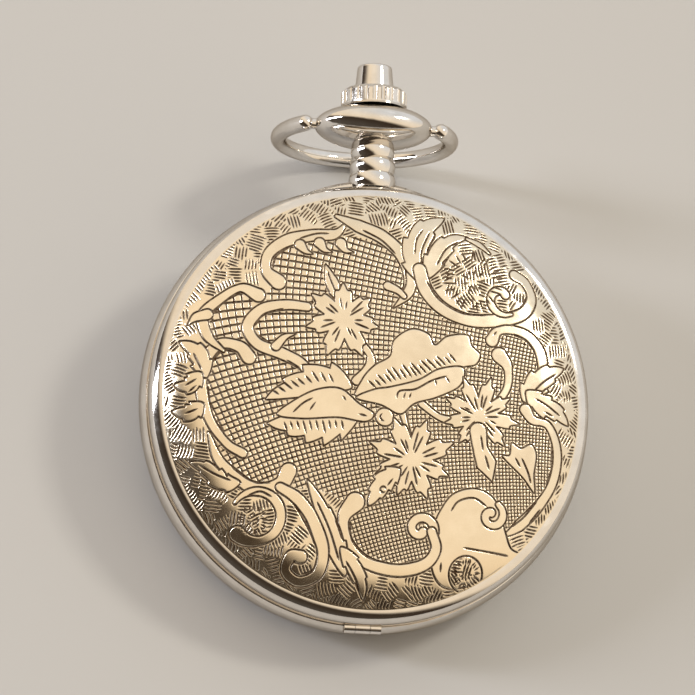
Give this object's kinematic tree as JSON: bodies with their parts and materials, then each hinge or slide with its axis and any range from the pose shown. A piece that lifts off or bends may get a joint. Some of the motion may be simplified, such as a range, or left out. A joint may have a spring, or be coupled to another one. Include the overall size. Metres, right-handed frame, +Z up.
{
  "type": "hunter pocket watch",
  "caption": "Hunter-case pocket watch with an engraved sprung front lid, fluted crown with push button, swinging bow and a hand-wound movement with small seconds.",
  "frame": {"origin": "on the table, under the middle of the whole watch as it stands propped on its bow", "axes": "+Z up from the table, +Y towards the pendant at 12 o'clock, +X towards 3 o'clock"},
  "size_m": [0.047, 0.0594, 0.0198],
  "materials": {
    "case_nickel": "polished",
    "engraved_nickel": "polished, engraved",
    "steel": "polished",
    "rhodium_plate": "satin",
    "brass": "satin",
    "ruby": "gloss",
    "crystal": "clear",
    "dial_enamel": "gloss enamel",
    "blued_steel": "gloss",
    "gasket": "matte"
  },
  "bodies": {
    "case": {"case_middle": "case_nickel", "pendant": "case_nickel", "pendant_sleeve": "case_nickel", "casing_ring": "brass", "front_bezel": "case_nickel", "crystal": "crystal", "crystal_gasket": "gasket", "back_cover": "case_nickel", "case_knuckles": "case_nickel", "hinge_pin": "case_nickel", "lift_spring": "steel", "case_screws": "steel", "setting_lever_spring": "steel", "crown_wheel_screw": "steel", "click_spring": "steel", "main_plate": "rhodium_plate", "barrel_bridge": "rhodium_plate", "train_bridge": "rhodium_plate", "balance_cock": "rhodium_plate", "pallet_cock": "rhodium_plate", "jewels": "ruby", "bridge_screws": "steel", "hairspring": "blued_steel", "dial": "dial_enamel"},
    "lid": {"lid_shell": "engraved_nickel", "lid_knuckle": "case_nickel"},
    "catch": {"lid_catch": "steel"},
    "bow": {"bow": "case_nickel"},
    "winding_pinion": {"winding_pinion": "steel"},
    "stem": {"crown": "case_nickel", "winding_stem": "steel", "button_spring": "steel"},
    "button": {"push_button": "case_nickel", "button_rod": "steel"},
    "clutch": {"clutch_wheel": "steel"},
    "setting_lever": {"setting_lever": "steel"},
    "yoke": {"yoke": "steel"},
    "setting_wheel": {"setting_wheel": "steel"},
    "crown_wheel": {"crown_wheel": "steel"},
    "ratchet": {"ratchet_wheel": "steel", "barrel_arbor": "steel", "ratchet_screw": "steel"},
    "click": {"click": "steel"},
    "barrel": {"barrel_drum": "brass", "barrel_cover": "brass", "mainspring": "steel"},
    "centre": {"centre_wheel": "brass", "centre_arbor": "steel", "cannon_pinion": "steel", "minute_hand": "blued_steel"},
    "third": {"third_wheel": "brass"},
    "fourth": {"fourth_wheel": "brass", "seconds_hand": "blued_steel"},
    "escape": {"escape_wheel": "steel"},
    "pallet": {"pallet_fork": "steel"},
    "balance": {"balance_wheel": "brass", "balance_staff": "steel"},
    "minute_wheel": {"minute_wheel": "brass"},
    "hour": {"hour_wheel": "brass", "hour_hand": "blued_steel"}
  },
  "joints": [
    {"name": "lid_open", "type": "hinge", "parent": "case", "child": "lid", "pos_m": [0, -0.02903, 0.00536], "axis": [1, 0, 0], "range_deg": [0, 95]},
    {"name": "bow_swing", "type": "hinge", "parent": "case", "child": "bow", "pos_m": [0, 0.02296, 0.01518], "axis": [1, 0, 0], "range_deg": [-50.3, 219.5]},
    {"name": "winding_turn", "type": "hinge", "parent": "case", "child": "winding_pinion", "pos_m": [0, 0.00592, 0.01163], "axis": [0, 0.9789, 0.2042], "continuous": true},
    {"name": "crown_pull", "type": "slide", "parent": "winding_pinion", "child": "stem", "axis": [0, 0.9789, 0.2042], "range_m": [0, 0.0008]},
    {"name": "button_press", "type": "slide", "parent": "stem", "child": "button", "axis": [0, -0.9789, -0.2042], "range_m": [0, 0.0005], "stiffness_N_per_m": 400, "springref_m": -0.0005, "deforming": ["button_spring"]},
    {"name": "catch_release", "type": "hinge", "parent": "case", "child": "catch", "pos_m": [-0.00982, 0.01147, 0.01432], "axis": [0, -0.2042, 0.9789], "range_deg": [-3, 0]},
    {"name": "clutch_slide", "type": "slide", "parent": "winding_pinion", "child": "clutch", "axis": [0, 0.9789, 0.2042], "range_m": [-0.0006, 0]},
    {"name": "setting_lever_turn", "type": "hinge", "parent": "case", "child": "setting_lever", "pos_m": [0.0045, 0.00763, 0.01372], "axis": [0, -0.2042, 0.9789], "range_deg": [-10.3, 0]},
    {"name": "yoke_turn", "type": "hinge", "parent": "case", "child": "yoke", "pos_m": [-0.005, 0.00367, 0.0129], "axis": [0, -0.2042, 0.9789], "range_deg": [-7, 0]},
    {"name": "crown_wheel_turn", "type": "hinge", "parent": "case", "child": "crown_wheel", "pos_m": [0, 0.00417, 0.01024], "axis": [0, -0.2042, 0.9789], "continuous": true},
    {"name": "ratchet_turn", "type": "hinge", "parent": "case", "child": "ratchet", "pos_m": [0.00688, -0.00139, 0.00908], "axis": [0, -0.2042, 0.9789], "continuous": true},
    {"name": "click_lift", "type": "hinge", "parent": "case", "child": "click", "pos_m": [0.0116, 0.00505, 0.01043], "axis": [0, -0.2042, 0.9789], "range_deg": [-8, 0], "stiffness_Nm_per_rad": 0.0001, "springref_deg": 5.73},
    {"name": "seconds_turn", "type": "hinge", "parent": "case", "child": "fourth", "pos_m": [0, -0.01316, 0.00663], "axis": [0, 0.2042, -0.9789], "continuous": true},
    {"name": "third_turn", "type": "hinge", "parent": "case", "child": "third", "pos_m": [0.00426, -0.01041, 0.0072], "axis": [0, 0.2042, -0.9789], "continuous": true},
    {"name": "centre_turn", "type": "hinge", "parent": "case", "child": "centre", "pos_m": [0, -0.00611, 0.0081], "axis": [0, 0.2042, -0.9789], "continuous": true},
    {"name": "barrel_turn", "type": "hinge", "parent": "case", "child": "barrel", "pos_m": [0.00688, -0.00139, 0.00908], "axis": [0, 0.2042, -0.9789], "continuous": true},
    {"name": "escape_turn", "type": "hinge", "parent": "case", "child": "escape", "pos_m": [-0.00422, -0.01242, 0.00678], "axis": [0, 0.2042, -0.9789], "continuous": true},
    {"name": "minute_wheel_turn", "type": "hinge", "parent": "case", "child": "minute_wheel", "pos_m": [0, -0.00259, 0.00883], "axis": [0, 0.2042, -0.9789], "continuous": true},
    {"name": "setting_wheel_turn", "type": "hinge", "parent": "case", "child": "setting_wheel", "pos_m": [0, 0.00094, 0.00957], "axis": [0, 0.2042, -0.9789], "continuous": true},
    {"name": "hour_turn", "type": "hinge", "parent": "case", "child": "hour", "pos_m": [0, -0.00611, 0.0081], "axis": [0, 0.2042, -0.9789], "continuous": true},
    {"name": "pallet_rock", "type": "hinge", "parent": "case", "child": "pallet", "pos_m": [-0.00589, -0.0101, 0.00727], "axis": [0, -0.2042, 0.9789], "range_deg": [-5, 5]},
    {"name": "balance_swing", "type": "hinge", "parent": "case", "child": "balance", "pos_m": [-0.00801, -0.00713, 0.00789], "axis": [0, -0.2042, 0.9789], "range_deg": [-270, 270], "stiffness_Nm_per_rad": 0.00000035, "deforming": ["hairspring"]}
  ],
  "couplings": [
    {"joint": "catch_release", "follows": "button_press", "rad_per_m": -91.615},
    {"joint": "clutch_slide", "follows": "crown_pull", "ratio": -0.75},
    {"joint": "setting_lever_turn", "follows": "crown_pull", "rad_per_m": -222.22},
    {"joint": "yoke_turn", "follows": "crown_pull", "rad_per_m": -150},
    {"joint": "crown_wheel_turn", "follows": "winding_turn", "ratio": 0.5},
    {"joint": "ratchet_turn", "follows": "winding_turn", "ratio": -0.25},
    {"joint": "third_turn", "follows": "seconds_turn", "ratio": -0.13333},
    {"joint": "centre_turn", "follows": "seconds_turn", "ratio": 0.016667},
    {"joint": "barrel_turn", "follows": "seconds_turn", "ratio": -0.0027778},
    {"joint": "escape_turn", "follows": "seconds_turn", "ratio": -10},
    {"joint": "minute_wheel_turn", "follows": "seconds_turn", "ratio": -0.0055556},
    {"joint": "hour_turn", "follows": "seconds_turn", "ratio": 0.0013889},
    {"joint": "setting_wheel_turn", "follows": "seconds_turn", "ratio": 0.016667}
  ]
}
